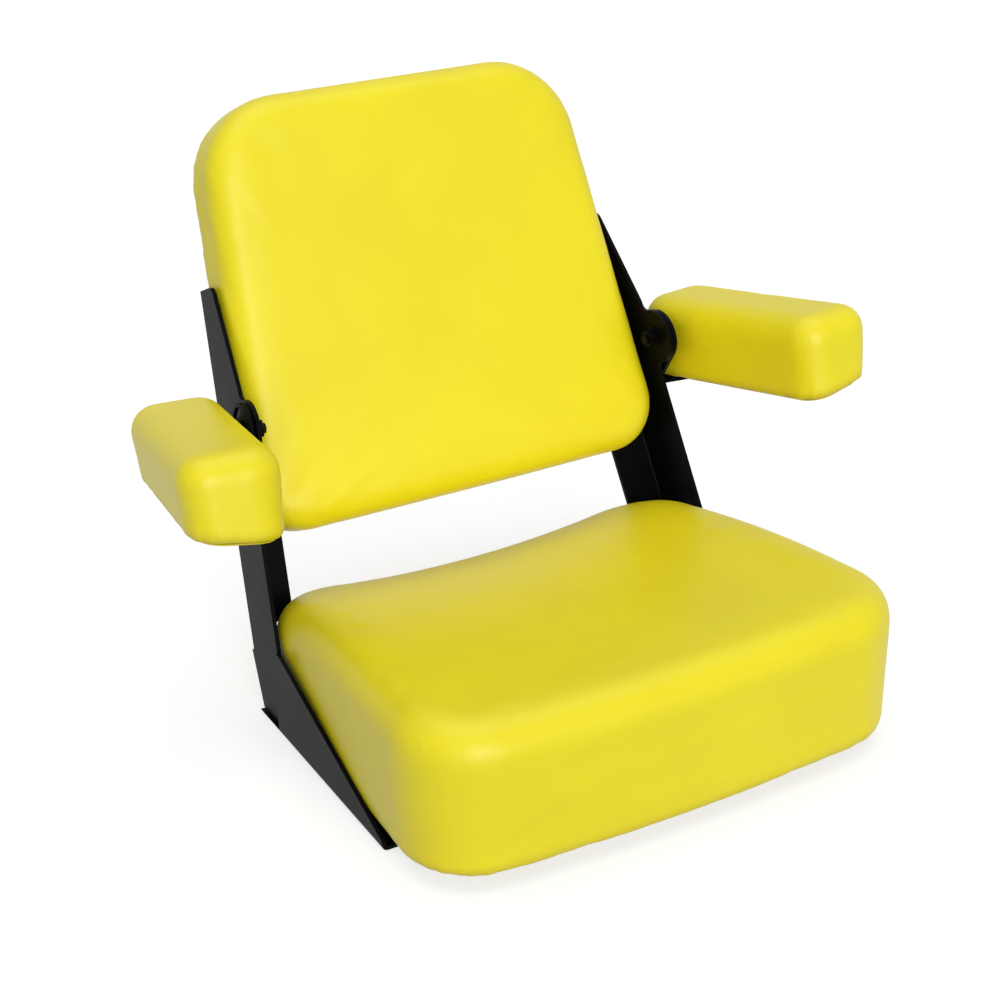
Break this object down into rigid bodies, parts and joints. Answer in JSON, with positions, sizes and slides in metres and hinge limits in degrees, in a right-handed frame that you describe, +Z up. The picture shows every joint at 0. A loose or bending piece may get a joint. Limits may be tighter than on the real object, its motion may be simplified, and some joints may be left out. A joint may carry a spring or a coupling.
{
  "type": "tractor seat",
  "caption": "Padded tractor seat with a leaning back and flip-up arm rests, on a pressed steel frame whose side rails bolt down to a deck.",
  "frame": {"origin": "centre of the base bolt pattern, on the underside of the side rails", "axes": "+Z up, the sitter faces -Y, +X to the right as seen from the front"},
  "size_m": [0.7024, 0.5951, 0.5541],
  "materials": {
    "yellow_vinyl": "smooth coated upholstery vinyl, satin, over foam",
    "black_steel": "gloss black paint on folded sheet steel",
    "plywood": "bare plywood",
    "zinc_hardware": "zinc plated fasteners"
  },
  "bodies": {
    "frame": {"side_rail_left": "black_steel", "side_rail_right": "black_steel", "upright_left": "black_steel", "upright_right": "black_steel", "cross_member_front": "black_steel", "cross_member_rear": "black_steel", "seat_board": "plywood", "seat_cushion": "yellow_vinyl", "seat_bolts": "zinc_hardware", "seat_washers": "zinc_hardware", "seat_tee_nuts": "zinc_hardware", "back_board": "plywood", "back_cushion": "yellow_vinyl", "back_bolts": "zinc_hardware", "back_washers": "zinc_hardware", "back_tee_nuts": "zinc_hardware", "pivot_bolt_left": "black_steel", "pivot_bolt_right": "black_steel", "pivot_nut_left": "black_steel", "pivot_nut_right": "black_steel", "pivot_washer_left": "black_steel", "pivot_washer_right": "black_steel", "pivot_spacer_left": "black_steel", "pivot_spacer_right": "black_steel", "arm_stop_pin_left": "black_steel", "arm_stop_pin_right": "black_steel"},
    "arm_left": {"arm_pad_left": "yellow_vinyl", "arm_board_left": "plywood", "arm_bracket_left": "black_steel", "arm_screws_left": "zinc_hardware"},
    "arm_right": {"arm_pad_right": "yellow_vinyl", "arm_board_right": "plywood", "arm_bracket_right": "black_steel", "arm_screws_right": "zinc_hardware"}
  },
  "joints": [
    {"name": "arm_left_hinge", "type": "hinge", "parent": "frame", "child": "arm_left", "pos_m": [-0.22538, 0.16156, 0.2841], "axis": [-0.9964, 0.0326, 0.078], "range_deg": [0, 100]},
    {"name": "arm_right_hinge", "type": "hinge", "parent": "frame", "child": "arm_right", "pos_m": [0.22538, 0.16156, 0.2841], "axis": [-0.9964, -0.0326, -0.078], "range_deg": [0, 100]}
  ]
}
